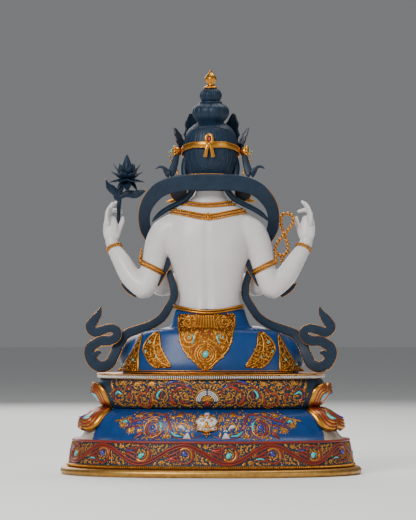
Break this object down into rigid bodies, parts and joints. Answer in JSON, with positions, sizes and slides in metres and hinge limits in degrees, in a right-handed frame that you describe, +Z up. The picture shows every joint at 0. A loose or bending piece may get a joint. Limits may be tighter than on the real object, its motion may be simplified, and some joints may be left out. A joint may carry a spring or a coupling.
{
  "type": "avalokiteshvara statue",
  "caption": "Seated four-armed bodhisattva in painted and gilt copper, with crown, scarf, lotus and rosary, on an oval double-lotus throne.",
  "frame": {"origin": "on the floor, under the middle of the oval throne", "axes": "+Z up; the figure faces -Y, so its left hand, with the lotus, is on the +X side"},
  "size_m": [0.34, 0.25, 0.4564],
  "materials": {
    "skin_paint": "satin",
    "scarf_paint": "matt",
    "cobalt_paint": "satin",
    "gilding": "satin"
  },
  "bodies": {
    "root": {"throne": "cobalt_paint", "figure": "skin_paint", "crown": "gilding", "topknot_jewel": "gilding", "scarf_arch": "scarf_paint", "scarf_tail_left": "scarf_paint", "scarf_tail_right": "scarf_paint", "lotus": "scarf_paint", "rosary": "gilding", "earring_left": "gilding", "earring_right": "gilding"}
  },
  "joints": []
}
